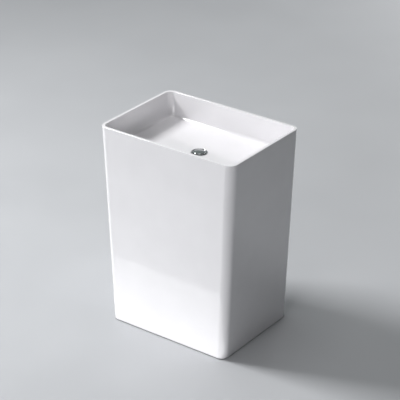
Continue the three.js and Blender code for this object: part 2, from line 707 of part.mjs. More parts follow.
const outletWasherY = BRANCH_REACH + GAP;
const outletLip = outletWasherY + CONE_WASHER_THICK + GAP;
const outletEnd = DEPTH / 2 - BOND;
piece(waste, 'outlet_washer', 'rubber', coneWasher(outletWasherY));
piece(waste, 'outlet_nut', 'chrome', unionNut(0).rotateX(Math.PI).translate(0, 0, outletLip));
const outletTube = tube(PIPE_R, pipeBoreR, BRANCH_REACH - NUT_SKIRT, outletEnd);
piece(waste, 'outlet_tube', 'chrome', outletTube);
const flangeFront = outletEnd - WALL_FLANGE_THICK;
const wallFlange = turnedRing([
  [pipeClearR, flangeFront], [pipeClearR + 4, flangeFront],
  [WALL_FLANGE_R - 4, outletEnd - 3], [WALL_FLANGE_R, outletEnd],
  [WALL_FLANGE_R - 3, outletEnd], [WALL_FLANGE_R - 6, outletEnd - 3 + WALL_FLANGE_SKIN],
  [pipeClearR + 4, flangeFront + WALL_FLANGE_SKIN], [pipeClearR, flangeFront + WALL_FLANGE_SKIN],
]);
piece(waste, 'wall_flange', 'chrome', wallFlange);

export default sink;
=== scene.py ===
"""The looks of a free-standing pedestal sink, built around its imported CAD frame.

Shapes are worked out in millimetres on the frame's own axes: the front faces -Y, the wall side +Y.
Every mesh is written in metres.
"""

import json
import math

import bpy
from mathutils import Matrix, Vector


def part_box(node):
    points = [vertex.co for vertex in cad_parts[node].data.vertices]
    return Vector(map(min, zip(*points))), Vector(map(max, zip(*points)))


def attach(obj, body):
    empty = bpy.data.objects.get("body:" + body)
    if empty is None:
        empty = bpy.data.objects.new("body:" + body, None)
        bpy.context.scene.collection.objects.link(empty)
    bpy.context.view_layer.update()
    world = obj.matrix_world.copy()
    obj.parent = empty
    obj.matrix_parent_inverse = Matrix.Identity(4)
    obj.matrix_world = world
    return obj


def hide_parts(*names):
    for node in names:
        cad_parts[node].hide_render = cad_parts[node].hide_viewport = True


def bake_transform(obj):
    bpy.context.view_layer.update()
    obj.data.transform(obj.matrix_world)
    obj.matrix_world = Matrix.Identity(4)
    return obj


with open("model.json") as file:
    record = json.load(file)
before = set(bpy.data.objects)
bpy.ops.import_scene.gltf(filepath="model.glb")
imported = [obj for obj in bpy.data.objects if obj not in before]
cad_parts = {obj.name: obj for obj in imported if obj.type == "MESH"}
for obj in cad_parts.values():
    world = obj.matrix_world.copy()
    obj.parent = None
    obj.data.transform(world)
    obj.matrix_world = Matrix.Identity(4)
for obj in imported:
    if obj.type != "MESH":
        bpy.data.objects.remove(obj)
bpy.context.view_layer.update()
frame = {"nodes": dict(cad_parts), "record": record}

MM = 0.001
TURN = 2 * math.pi
ROUND = 96          # facets of a round piece
FINE = 240          # facets of a round piece with ribs or flutes
SMALL = 48          # facets of a small one
CORNER_STEPS = 24   # facets of a pedestal corner
FILLET_STEPS = 5

# ---- Sizes ---------------------------------------------------------------------------------------

WALL = 12
CORNER_R = 34
RIM_ROUND = 1.5
EDGE_ROUND = 1.0
BOND = 0.35
OPENING_WIDTH = 300
OPENING_HEAD = 620
OPENING_R = 40
COVE_R = 13.2
FLOOR_EDGE = 700
RECESS_R = 32
RECESS_DEPTH = 4.5
HOLE_R = 22.5
DRAIN_LAND = 5
STUD_R = 5
STUD_PITCH = 1.5
INSERT_R = 7.1
TUBE_R = 21
TUBE_BORE = 17.5
SEAL_BORE = 19.3
TUBE_PITCH = 2.309
THREAD_BORE = 21.3
FLANGE_PROUD = 1.8
FLANGE_LIP = 2.2
HUB_HEIGHT = 8
CARTRIDGE_R = 8
CARTRIDGE_BORE = 6
ROD_R = 3
NECK_R = 4
WIRE_R = 0.4
PIPE_R = 16
PIPE_BORE = 14.6
PIPE_CLEAR = 16.3
TRAP_R = 30
TRAP_PITCH = 4
NUT_RIBS = 12
NUT_RIB = 1.2
NUT_LIP = 3
CUP_FLUTES = 8
BOSS_R = 10         # under the plug cap
TRAP_WALL = 3
GAP = 0.3           # the clearance between neighbouring pieces
FLANGE_THICK = 1.2
THROAT_DROP = 1.7   # from the dish down to the bore the plug's seal runs in
SEAT_DROP = 9.8     # from the basin floor down to the plug's seat in the tube
HUB_WALL = 4
ARM_WIDTH = 4
PLATE_THICK = 2.5
CARTRIDGE_BASE = 4


class Box:
    """A CAD node's box at rest, in millimetres."""

    def __init__(self, node):
        low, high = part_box(node)
        self.x0, self.y0, self.z0 = (v / MM for v in low)
        self.x1, self.y1, self.z1 = (v / MM for v in high)
        self.r = (self.x1 - self.x0) / 2
        self.x = (self.x0 + self.x1) / 2
        self.y = (self.y0 + self.y1) / 2
        self.z = (self.z0 + self.z1) / 2


SHELL = Box("pedestal_shell")
HEIGHT = SHELL.z1
BACK = SHELL.y1
DEPTH = SHELL.y1 - SHELL.y0
FLOOR = Box("basin_floor")
DRAIN_Z = Box("drain_body").z1 - FLANGE_PROUD


def lean_shares():
    """How much of the half width and of the depth the pedestal loses from its rim to the floor."""
    points = [v.co / MM for v in frame["nodes"]["pedestal_shell"].data.vertices]
    base = [p for p in points if p.z < SHELL.z0 + 0.1]
    share = 1 - SHELL.z0 / HEIGHT
    side = (1 - max(p.x for p in base) / SHELL.x1) / share
    front = (1 - (BACK - min(p.y for p in base)) / DEPTH) / share
    return side, front


SIDE_LEAN, FRONT_LEAN = lean_shares()


def leaned(x, y, z):
    """Where a point of the upright pedestal lies on the real one, narrower at the floor."""
    share = 1 - z / HEIGHT
    return x * (1 - share * SIDE_LEAN), BACK - (BACK - y) * (1 - share * FRONT_LEAN), z


# ---- Outlines and meshes -------------------------------------------------------------------------


def rounded(points, closed=False, steps=FILLET_STEPS):
    """A 2D outline, in which a corner with a third number is rounded to that radius."""
    out = []
    for i, point in enumerate(points):
        here = Vector(point[:2])
        if len(point) < 3 or (not closed and i in (0, len(points) - 1)):
            out.append(tuple(here))
            continue
        back = (Vector(points[i - 1][:2]) - here).normalized()
        on = (Vector(points[(i + 1) % len(points)][:2]) - here).normalized()
        half = back.angle(on) / 2
        centre = here + (back + on).normalized() * point[2] / math.sin(half)
        first = here + back * point[2] / math.tan(half) - centre
        last = here + on * point[2] / math.tan(half) - centre
        turn = first.angle_signed(last)
        for k in range(steps + 1):
            spoke = Matrix.Rotation(-turn * k / steps, 2) @ first
            out.append(tuple(centre + spoke))
    return out


def ease(share):
    """0 to 1, level at both ends."""
    share = min(1, max(0, share))
    return share * share * (3 - 2 * share)


def shade(obj, sharp=40):
    """Smooth shading that stays crisp at sharp edges and flat on large faces."""
    obj.data.shade_smooth()
    obj.data.set_sharp_from_angle(angle=math.radians(sharp))
    even = obj.modifiers.new("even_normals", "WEIGHTED_NORMAL")
    even.keep_sharp = True
    return obj


def skin(name, loops, ring=False):
    """A mesh drawn through loops of points in millimetres, which run anticlockwise seen from above.
    A ring joins its last loop to its first. Otherwise a flat face, or a point, closes each end."""
    points, starts = [], []
    for loop in loops:
        starts.append(len(points))
        points.extend(tuple(v * MM for v in p) for p in loop)
    faces = []
    last = len(loops) if ring else len(loops) - 1
    for k in range(last):
        m = (k + 1) % len(loops)
        below, above = len(loops[k]), len(loops[m])
        for i in range(max(below, above)):
            a, b = starts[k] + i % below, starts[k] + (i + 1) % below
            c, d = starts[m] + (i + 1) % above, starts[m] + i % above
            faces.append(tuple(dict.fromkeys((a, b, c, d))))
    if not ring and len(loops[0]) > 1:
        faces.append(tuple(reversed(range(len(loops[0])))))
    if not ring and len(loops[-1]) > 1:
        faces.append(tuple(range(starts[-1], len(points))))
    mesh = bpy.data.meshes.new(name)
    mesh.from_pydata(points, [], faces)
    mesh.validate()
    obj = bpy.data.objects.new(name, mesh)
    bpy.context.scene.collection.objects.link(obj)
    return obj


def round_loop(radius, z, count=ROUND):
    """A level loop. The radius is a number, or a function of the angle and the height."""
    if not callable(radius) and radius < 1e-6:
        return [(0, 0, z)]
    loop = []
    for i in range(count):
        angle = TURN * i / count
        r = radius(angle, z) if callable(radius) else radius
        loop.append((r * math.cos(angle), r * math.sin(angle), z))
    return loop


def turned(name, profile, ring=False, count=ROUND):
    """A turned piece about Z. The profile's points are radius and height, the outside going up."""
    points = rounded(profile, closed=ring)
    return skin(name, [round_loop(r, z, count) for r, z in points], ring)


def thread(radius, z0, z1, pitch, depth, count=ROUND):
    """The loops of a screw thread, cut into a rod of that radius, that fades out at both ends."""
    def ridge(angle, z):
        height = abs(2 * ((z / pitch - angle / TURN) % 1) - 1)
        fade = ease(min(z - z0, z1 - z) / pitch)
        return radius - depth * fade * (1 - ease(height * 1.3 - 0.15))

    steps = max(2, round((z1 - z0) / pitch * 8))
    return [round_loop(ridge, z0 + (z1 - z0) * k / steps, count) for k in range(steps + 1)]


def settle(obj):
    """Makes the modifiers' result the piece's own mesh."""
    graph = bpy.context.evaluated_depsgraph_get()
    made = bpy.data.meshes.new_from_object(obj.evaluated_get(graph))
    obj.modifiers.clear()
    obj.data = made
    return obj


def combine(obj, tool, operation):
    """Joins, cuts or clips the piece by a tool, which is used up."""
    boolean = obj.modifiers.new("boolean", "BOOLEAN")
    boolean.object = tool
    boolean.operation = operation
    boolean.solver = "EXACT"
    settle(obj)
    bpy.data.objects.remove(tool)
    return obj


def soften(obj, width, angle=50, segments=3):
    """Rounds the edges that turn by more than an angle."""
    bevel = obj.modifiers.new("soft_edges", "BEVEL")
    bevel.width = width * MM
    bevel.segments = segments
    bevel.limit_method = "ANGLE"
    bevel.angle_limit = math.radians(angle)
    bevel.harden_normals = False
    return settle(obj)


def put(obj, x=0, y=0, z=0, along_y=False):
    """Moves a mesh into place. A piece along Y has its own Z turned to +Y first."""
    turn = Matrix.Rotation(-math.pi / 2, 4, "X") if along_y else Matrix.Identity(4)
    obj.data.transform(Matrix.Translation(Vector((x, y, z)) * MM) @ turn)
    return obj


# ---- Materials -----------------------------------------------------------------------------------


class Finish:
    """A node material: one shader, and noises in the piece's own space that vary it."""

    def __init__(self, name, **settings):
        self.material = bpy.data.materials.new(name)
        self.material.use_nodes = True
        self.nodes = self.material.node_tree.nodes
        self.links = self.material.node_tree.links
        self.shader = self.nodes["Principled BSDF"]
        self.place = self.nodes.new("ShaderNodeTexCoord").outputs["Object"]
        self.height = None
        for socket, value in settings.items():
            self.shader.inputs[socket.replace("_", " ")].default_value = value

    def noise(self, scale, detail=3, stretch=(1, 1, 1)):
        mapping = self.nodes.new("ShaderNodeMapping")
        mapping.inputs["Scale"].default_value = stretch
        self.links.new(self.place, mapping.inputs["Vector"])
        node = self.nodes.new("ShaderNodeTexNoise")
        node.inputs["Scale"].default_value = scale
        node.inputs["Detail"].default_value = detail
        self.links.new(mapping.outputs["Vector"], node.inputs["Vector"])
        return node.outputs["Fac"]

    def rings(self, scale, distortion=0.4):
        """Fine turning marks about Z."""
        node = self.nodes.new("ShaderNodeTexWave")
        node.wave_type = "RINGS"
        node.rings_direction = "Z"
        node.inputs["Scale"].default_value = scale
        node.inputs["Distortion"].default_value = distortion
        self.links.new(self.place, node.inputs["Vector"])
        return node.outputs["Fac"]

    def colours(self, share, first, second):
        ramp = self.nodes.new("ShaderNodeValToRGB")
        ramp.color_ramp.elements[0].position = 0.35
        ramp.color_ramp.elements[1].position = 0.65
        ramp.color_ramp.elements[0].color = (*first, 1)
        ramp.color_ramp.elements[1].color = (*second, 1)
        self.links.new(share, ramp.inputs["Fac"])
        self.links.new(ramp.outputs["Color"], self.shader.inputs["Base Color"])

    def roughness(self, share, low, high):
        spread = self.nodes.new("ShaderNodeMapRange")
        spread.inputs["From Min"].default_value = 0.3
        spread.inputs["From Max"].default_value = 0.7
        spread.inputs["To Min"].default_value = low
        spread.inputs["To Max"].default_value = high
        self.links.new(share, spread.inputs["Value"])
        self.links.new(spread.outputs["Result"], self.shader.inputs["Roughness"])

    def bump(self, height, strength, distance):
        node = self.nodes.new("ShaderNodeBump")
        node.inputs["Strength"].default_value = strength
        node.inputs["Distance"].default_value = distance * MM
        self.links.new(height, node.inputs["Height"])
        if self.height:
            self.links.new(self.height, node.inputs["Normal"])
        self.height = node.outputs["Normal"]
        self.links.new(self.height, self.shader.inputs["Normal"])


def solid_surface():
    """Cast mineral-filled resin, polished: almost even white, with faint clouding."""
    finish = Finish("solid_surface_white", Specular_IOR_Level=1.0, Coat_Weight=0.6,
                    Coat_Roughness=0.05)
    finish.colours(finish.noise(9, 4), (0.81, 0.8, 0.822), (0.83, 0.82, 0.842))
    finish.roughness(finish.noise(30, 5), 0.07, 0.12)
    finish.bump(finish.noise(7, 1), 0.1, 0.4)
    finish.bump(finish.noise(420, 2), 0.05, 0.02)
    return finish.material


def chrome():
    """Bright plate with a trace of polishing haze."""
    finish = Finish("chrome_plate", Metallic=1.0)
    finish.colours(finish.noise(40), (0.52, 0.535, 0.54), (0.58, 0.59, 0.595))
    finish.roughness(finish.noise(160, 4), 0.03, 0.09)
    finish.bump(finish.noise(900, 2, (1, 1, 5)), 0.06, 0.02)
    return finish.material


def brass():
    """Turned brass, a little tarnished, with fine tool marks."""
    finish = Finish("turned_brass", Metallic=1.0)
    finish.colours(finish.noise(70, 5), (0.62, 0.45, 0.2), (0.8, 0.62, 0.32))
    finish.roughness(finish.noise(220, 4), 0.22, 0.42)
    finish.bump(finish.rings(700), 0.12, 0.04)
    return finish.material


def steel():
    """Stainless steel, brushed round the stud."""
    finish = Finish("brushed_steel", Metallic=1.0)
    finish.colours(finish.noise(60, 4), (0.5, 0.51, 0.52), (0.64, 0.65, 0.66))
    finish.roughness(finish.noise(240, 4, (1, 1, 7)), 0.24, 0.4)
    finish.bump(finish.noise(900, 3, (1, 1, 9)), 0.15, 0.03)
    return finish.material


def rubber():
    """Black moulded rubber with a dusty bloom."""
    finish = Finish("moulded_rubber")
    finish.colours(finish.noise(90, 5), (0.018, 0.018, 0.02), (0.045, 0.045, 0.048))
    finish.roughness(finish.noise(300, 4), 0.6, 0.85)
    finish.bump(finish.noise(1300, 3), 0.35, 0.05)
    return finish.material


def white_plastic():
    """Natural moulded plastic, faintly mottled."""
    finish = Finish("moulded_plastic")
    finish.colours(finish.noise(60, 4), (0.74, 0.73, 0.69), (0.82, 0.81, 0.78))
    finish.roughness(finish.noise(250, 4), 0.32, 0.5)
    finish.bump(finish.noise(800, 3), 0.2, 0.03)
    return finish.material


FINISHES = {
    "solid_surface": solid_surface(),
    "chrome": chrome(),
    "brass": brass(),
    "steel": steel(),
    "rubber": rubber(),
    "white_plastic": white_plastic(),
}
BODY_OF = {
    node: body
    for body, nodes in frame["record"]["behaviour"]["bodies"].items()
    for node in nodes
}


def stand_in(obj, node, finish, sharp=40):
    """Dresses a finished mesh, and puts it in its CAD node's place, on its body."""
    obj.name = f"visual_{node}"
    obj.data.name = obj.name
    obj.data.materials.clear()
    obj.data.materials.append(FINISHES[finish])
    shade(obj, sharp)
    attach(obj, BODY_OF[node])
    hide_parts(node)
    return obj


# ---- Camera, floor and light ---------------------------------------------------------------------


def camera():
    """A long lens on the right-hand front corner, looking down into the basin."""
    data = bpy.data.cameras.new("camera")
    data.lens = 154.07
    data.sensor_width = 36
    data.clip_end = 100
    obj = bpy.data.objects.new("camera", data)
    obj.location = Vector((3382.5, -4560.6, 3357.8)) * MM
    obj.rotation_euler = (math.radians(90 - 26.709), 0, math.radians(36.535))
    bpy.context.scene.collection.objects.link(obj)
    bpy.context.scene.camera = obj


def floor():
    """A plain pale studio floor, which can be seen through from beneath."""
    half = 20
    mesh = bpy.data.meshes.new("studio_floor")
    corners = [(-half, -half, 0), (half, -half, 0), (half, half, 0), (-half, half, 0)]
    mesh.from_pydata(corners, [], [(0, 1, 2, 3)])
    obj = bpy.data.objects.new("studio_floor", mesh)
    bpy.context.scene.collection.objects.link(obj)
    finish = Finish("studio_floor", Specular_IOR_Level=0.2)
    finish.colours(finish.noise(2), (0.49, 0.5, 0.52), (0.51, 0.52, 0.54))
    finish.roughness(finish.noise(8), 0.5, 0.6)
    clear = finish.nodes.new("ShaderNodeBsdfTransparent")
    sides = finish.nodes.new("ShaderNodeMixShader")
    geometry = finish.nodes.new("ShaderNodeNewGeometry")
    finish.links.new(geometry.outputs["Backfacing"], sides.inputs["Fac"])
    finish.links.new(finish.shader.outputs["BSDF"], sides.inputs[1])
    finish.links.new(clear.outputs["BSDF"], sides.inputs[2])
    finish.links.new(sides.outputs["Shader"], finish.nodes["Material Output"].inputs["Surface"])
    mesh.materials.append(finish.material)


def lamp(name, place, aim, size, power, colour=(1, 1, 1)):
    """A soft panel of light, in metres and watts, which the camera doesn't see."""
    data = bpy.data.lights.new(name, "AREA")
    data.shape = "RECTANGLE"
    data.size, data.size_y = size
    data.energy = power
    data.color = colour
    obj = bpy.data.objects.new(name, data)
    obj.location = place
    obj.rotation_euler = (Vector(aim) - Vector(place)).to_track_quat("-Z", "Y").to_euler()
    obj.visible_camera = False
    bpy.context.scene.collection.objects.link(obj)
    return obj


def sky(towards, low, high, dimmest, brightest, colour):
    """Surroundings that brighten towards one side, between two shares of the way there."""
    world = bpy.data.worlds.new("studio")
    world.use_nodes = True
    nodes, links = world.node_tree.nodes, world.node_tree.links
    side = nodes.new("ShaderNodeVectorMath")
    side.operation = "DOT_PRODUCT"
    side.inputs[1].default_value = towards
    links.new(nodes.new("ShaderNodeTexCoord").outputs["Generated"], side.inputs[0])
    spread = nodes.new("ShaderNodeMapRange")
    spread.inputs["From Min"].default_value = low
    spread.inputs["From Max"].default_value = high
    spread.inputs["To Min"].default_value = dimmest
    spread.inputs["To Max"].default_value = brightest
    links.new(side.outputs["Value"], spread.inputs["Value"])
    background = nodes["Background"]
    background.inputs["Color"].default_value = (*colour, 1)
    links.new(spread.outputs["Result"], background.inputs["Strength"])
    bpy.context.scene.world = world


def studio():
    bpy.context.scene.view_settings.view_transform = "Standard"
    sky((-0.95, 0.3, 0), 0.2, 1, 0.03, 0.45, (0.9, 1, 1))
    middle = (0, 0, 0.5)
    lamp("key", (-3.19, -0.94, 4.07), (0, 0, 0.6), (1.3, 1.3), 240)
    lamp("top", (0, 0, 4.5), middle, (2, 2), 34)
    lamp("front_fill", (0.8, -5, 1.9), middle, (2.6, 2), 104)
    lamp("back_fill", (-0.8, 5, 1.5), middle, (2.6, 2), 46)
    front = SHELL.y0 * MM
    left, low, width = -0.85, 0.002, 2.4
    for name, near, far, power in (("near_bounce", 0, 0.375, 2.4), ("far_bounce", 0.375, 1, 0.9)):
        y = front - (near + far) / 2
        lamp(name, (left, y, low), (left, y, 1), (width, far - near), power)


camera()
floor()
studio()


# ---- Pedestal ------------------------------------------------------------------------------------


def plan(inset, long_steps=1, short_steps=1):
    """The pedestal's outline at its rim, inset from its outer face, anticlockwise from +X."""
    radius = max(CORNER_R - inset, 1)
    x = SHELL.x1 - inset - radius
    y = DEPTH / 2 - inset - radius
    points = []
    for corner, (cx, cy) in enumerate([(x, y), (-x, y), (-x, -y), (x, -y)]):
        for i in range(CORNER_STEPS + 1):
            angle = (corner + i / CORNER_STEPS) * math.pi / 2
            points.append((cx + radius * math.cos(angle), cy + radius * math.sin(angle)))
        nx, ny = [(-x, y + radius), (-x - radius, -y), (x, -y - radius), (x + radius, y)][corner]
        px, py = points[-1]
        steps = long_steps if corner % 2 == 0 else short_steps
        for i in range(1, steps):
            points.append((px + (nx - px) * i / steps, py + (ny - py) * i / steps))
    return points


def plan_loop(inset, z, *steps):
    return [leaned(x, y, z) for x, y in plan(inset, *steps)]


def arch():
    """The tool that cuts the opening in the back of the SHELL."""
    half = OPENING_WIDTH / 2
    outline = rounded([(-half, -SHELL.z0), (half, -SHELL.z0), (half, OPENING_HEAD, OPENING_R),
                       (-half, OPENING_HEAD, OPENING_R)], closed=True, steps=24)
    near, far = BACK - 2 * WALL, BACK + WALL
    return skin("arch", [[(x, far, z) for x, z in outline], [(x, near, z) for x, z in outline]])


def pedestal_shell():
    profile = rounded([(0, SHELL.z0, EDGE_ROUND), (0, HEIGHT, RIM_ROUND), (WALL, HEIGHT, RIM_ROUND),
                       (WALL, SHELL.z0, EDGE_ROUND)], closed=True)
    body = skin("shell", [plan_loop(inset, z) for inset, z in profile], ring=True)
    combine(body, arch(), "DIFFERENCE")
    soften(body, EDGE_ROUND)
    stand_in(body, "pedestal_shell", "solid_surface")


def basin_floor():
    """The dished floor: a cove that runs into the shell's wall, then an even fall to the drain."""
    steps = (36, 20)
    bite = 0.03    # how far the cove's feather edge goes into the wall, so that no seam shows
    cove_steps = 16
    seat = WALL + BOND
    side = rounded([(seat + 30, FLOOR.z0), (seat, FLOOR.z0, EDGE_ROUND), (seat, FLOOR_EDGE)])[1:]
    cove = []
    for i in range(cove_steps + 1):
        angle = math.pi / 2 * i / cove_steps
        cove.append((WALL - bite + COVE_R * (1 - math.cos(angle)),
                     FLOOR_EDGE + COVE_R * (1 - math.sin(angle))))
    loops = [plan_loop(inset, z, *steps) for inset, z in side + cove]
    edge = loops[-1]
    spokes = [math.atan2(y, x) for x, y, _ in edge]

    def ring(radius, z):
        return [(radius * math.cos(a), radius * math.sin(a), z) for a in spokes]

    land = ring(RECESS_R + DRAIN_LAND, DRAIN_Z)
    fall_steps = 28
    for k in range(1, fall_steps):
        share = k / fall_steps
        drop = FLOOR_EDGE + (DRAIN_Z - FLOOR_EDGE) * ease(share)
        loops.append([(x + (lx - x) * share, y + (ly - y) * share, drop)
                      for (x, y, _), (lx, ly, _) in zip(edge, land)])
    throat = rounded([(RECESS_R + DRAIN_LAND, DRAIN_Z), (RECESS_R, DRAIN_Z, 0.8),
                      (RECESS_R, DRAIN_Z - RECESS_DEPTH), (HOLE_R, DRAIN_Z - RECESS_DEPTH, 0.4),
                      (HOLE_R, FLOOR.z0, 0.6), (HOLE_R + 10, FLOOR.z0)])
    loops += [ring(radius, z) for radius, z in throat]
    under = plan_loop(seat + EDGE_ROUND, FLOOR.z0, *steps)
    loops.append([(x * 0.9, y * 0.9, FLOOR.z0) for x, y, _ in under])
    stand_in(skin("basin", loops, ring=True), "basin_floor", "solid_surface")


def strip(node, bores=()):
    """A strip bonded to the inside of the shell, with its corners round where the shell's are."""
    box = Box(node)
    share = 1 - box.z / HEIGHT
    side = 1 - share * SIDE_LEAN
    front = 1 - share * FRONT_LEAN
    seat = WALL + BOND
    outline = plan(seat)
    body = skin(node, [[(x, y, z) for x, y in outline] for z in (box.z0, box.z1)])
    margin = 5
    x0, x1 = box.x0 / side, box.x1 / side
    y0, y1 = BACK - (BACK - box.y0) / front, BACK - (BACK - box.y1) / front
    if x0 < -SHELL.x1 + seat + margin:
        x0 -= margin
    if x1 > SHELL.x1 - seat - margin:
        x1 += margin
    if y0 < SHELL.y0 + seat + margin:
        y0 -= margin
    if y1 > BACK - seat - margin:
        y1 += margin
    corners = [(x0, y0), (x1, y0), (x1, y1), (x0, y1)]
    ends = (box.z0 - margin, box.z1 + margin)
    tool = skin("clip", [[(x, y, z) for x, y in corners] for z in ends])
    combine(body, tool, "INTERSECT")
    for v in body.data.vertices:
        v.co = Vector(leaned(*(v.co / MM))) * MM
    hole = INSERT_R + GAP
    for x, y in bores:
        bore = turned("bore", [(0, box.z0 - margin), (hole, box.z0 - margin),
                               (hole, box.z1 + margin), (0, box.z1 + margin)], count=SMALL)
        combine(body, put(bore, x, y), "DIFFERENCE")
    soften(body, 0.8)
    stand_in(body, node, "solid_surface")


FEET = ["front_left", "back_left", "front_right", "back_right"]
pedestal_shell()
basin_floor()
for edge_name in ("front", "back", "left", "right"):
    strip(f"floor_batten_{edge_name}")
for side_name in ("left", "right"):
    places = [Box(f"levelling_foot_{foot}") for foot in FEET if foot.endswith(side_name)]
    strip(f"base_rail_{side_name}", [(place.x, place.y) for place in places])
strip("base_rail_front")


# ---- Levelling feet ------------------------------------------------------------------------------


def hex_radius(flats, angle):
    """From the axis to the side of a hexagon whose flats face 0, 60, 120 degrees and so on."""
    off = (angle + TURN / 12) % (TURN / 6) - TURN / 12
    return flats / 2 / math.cos(off)


def hex_nut(node, flats, bore, finish):
    """A hexagon nut with its corners chamfered at 30 degrees and its bore countersunk."""
    box = Box(node)
    seat = flats / 2 * 0.96
    slope = math.tan(math.radians(30))
    reach = (hex_radius(flats, TURN / 12) - seat) * slope
    steps = 5
    loops = []
    for k in range(steps + 1):
        rise = reach * k / steps
        loops.append((rise, box.z0 + rise))
    loops += [(rise, box.z1 - rise) for rise, _ in reversed(loops)]

    def outside(rise):
        return lambda angle, z: min(hex_radius(flats, angle), seat + rise / slope)

    sink = 0.7
    inside = [(bore + sink, box.z1), (bore, box.z1 - sink), (bore, box.z0 + sink),
              (bore + sink, box.z0)]
    made = [round_loop(outside(rise), z) for rise, z in loops]
    made += [round_loop(r, z) for r, z in inside]
    stand_in(put(skin(node, made, ring=True), box.x, box.y), node, finish, sharp=25)


def levelling_foot(node):
    """A threaded stud on a round pad with a grooved underside."""
    box = Box(node)
    pad = 5
    lower = rounded([(0, 0.6), (8, 0.6), (8.6, 0, 0.2), (box.r, 0, 1.2), (box.r, pad - 1, 1.5),
                     (STUD_R + 3, pad, 1), (STUD_R, pad + 0.05)])
    upper = [(STUD_R, box.z1 - 1), (STUD_R - 1, box.z1), (0, box.z1)]
    loops = [round_loop(r, z, SMALL) for r, z in lower]
    loops += thread(STUD_R, pad + 0.2, box.z1 - 1.1, STUD_PITCH, 0.85, SMALL)
    loops += [round_loop(r, z, SMALL) for r, z in upper]
    stand_in(put(skin(node, loops), box.x, box.y), node, "steel", sharp=60)


def plain_ring(node, inner, finish, edge=0.3, count=ROUND):
    """A flat ring, such as a washer or a sleeve, with its edges eased."""
    box = Box(node)
    profile = [(inner, box.z0, edge), (box.r, box.z0, edge), (box.r, box.z1, edge),
               (inner, box.z1, edge)]
    stand_in(put(turned(node, profile, ring=True, count=count), box.x, box.y), node, finish)


for foot in FEET:
    nut = Box(f"foot_nut_{foot}")
    levelling_foot(f"levelling_foot_{foot}")
    hex_nut(f"foot_nut_{foot}", nut.x1 - nut.x0, STUD_R + GAP, "steel")
    plain_ring(f"foot_insert_{foot}", STUD_R + GAP, "brass", count=SMALL)


# ---- Drain and click-clack plug ------------------------------------------------------------------


def drain_body():
    """The threaded tube and its dished flange, with the three-armed spider inside."""
    box = Box("drain_body")
    underside = Box("flange_seal").z1 + GAP
    dish = underside + FLANGE_THICK
    seat = DRAIN_Z - SEAT_DROP
    dish_r, lip = box.r - FLANGE_LIP, 0.9
    outside = rounded([(TUBE_R - 1, box.z0), (TUBE_R, box.z0 + 1)])
    loops = [round_loop(r, z) for r, z in outside]
    loops += thread(TUBE_R, box.z0 + 1.1, DRAIN_Z - 15, TUBE_PITCH, 1.3)
    above = rounded([(TUBE_R, DRAIN_Z - 14), (TUBE_R, underside), (box.r, underside, 0.5),
                     (box.r, box.z1, 1.1), (dish_r, box.z1, lip), (dish_r, dish, 0.7),
                     (TUBE_R, dish, 1.2), (SEAL_BORE, dish - THROAT_DROP, 0.3),
                     (SEAL_BORE, seat, 0.3), (TUBE_BORE, seat - 1.8, 0.3),
                     (TUBE_BORE, box.z0 + 0.5), (TUBE_BORE + 0.5, box.z0)])
    loops += [round_loop(r, z) for r, z in above]
    body = skin("drain", loops, ring=True)
    hub_z = Box("cartridge_body").z0 + CARTRIDGE_BASE
    hub_top = hub_z + HUB_HEIGHT
    hub_r = CARTRIDGE_R + HUB_WALL
    hub = [(CARTRIDGE_R + GAP, hub_z, 0.3), (hub_r, hub_z, 0.8), (hub_r, hub_top, 0.8),
           (CARTRIDGE_R + GAP, hub_top, 0.3)]
    arm_from, arm_to, side = CARTRIDGE_R + HUB_WALL / 2, TUBE_BORE + 1, ARM_WIDTH / 2
    arm = [(arm_from, -side), (arm_to, -side), (arm_to, side), (arm_from, side)]
    for i in range(3):
        tool = skin("arm", [[(x, y, z) for x, y in arm] for z in (hub_z, hub_top)])
        tool.data.transform(Matrix.Rotation(TURN * i / 3, 4, "Z"))
        soften(tool, 0.5)
        combine(body, tool, "UNION")
    combine(body, turned("hub", hub, ring=True), "UNION")
    stand_in(body, "drain_body", "chrome")


def underside_seal():
    box = Box("underside_seal")
    ribs = [(box.r - 0.2, box.z0, 0.3), (box.r, box.z0 + 1.5, 0.4), (box.r - 1, box.z1, 0.3),
            (box.r - 3, box.z1 - 0.3, 0.2), (box.r - 4, box.z1, 0.2),
            (box.r - 6, box.z1 - 0.3, 0.2), (THREAD_BORE, box.z1, 0.3),
            (THREAD_BORE, box.z0, 0.3)]
    stand_in(turned("seal", ribs, ring=True), "underside_seal", "rubber")


def plug_cap():
    """A low button with a round shoulder and a slightly domed top, on a boss for the stem."""
    box = Box("plug_cap")
    rim = DRAIN_Z + 1
    screw = NECK_R + GAP
    roof = rim - 2.2
    shoulder, rise = 2.6, 0.8
    edge = box.z1 - rise
    steps = 24
    lower = rounded([(0, roof), (screw, roof), (screw, box.z0, 0.3), (BOSS_R, box.z0, 0.5),
                     (BOSS_R, rim, 0.4), (box.r, rim, 0.4), (box.r, edge, shoulder), (0, edge)],
                    steps=8)[:-1]
    dome = []
    for k in range(1, steps + 1):
        share = math.cos(math.pi / 2 * k / steps)
        dome.append(((box.r - shoulder) * share, edge + rise * (1 - share * share)))
    dome[-1] = (0, box.z1)
    stand_in(turned("cap", lower + dome), "plug_cap", "chrome", sharp=30)


def plug_seal():
    box = Box("plug_seal")
    bore = BOSS_R + GAP
    profile = [(bore, box.z0, 0.3), (box.r - 0.8, box.z0, 0.5), (box.r, box.z, 0.6),
               (box.r - 0.8, box.z1, 0.5), (bore, box.z1, 0.3)]
    stand_in(turned("seal", profile, ring=True), "plug_seal", "rubber", sharp=60)


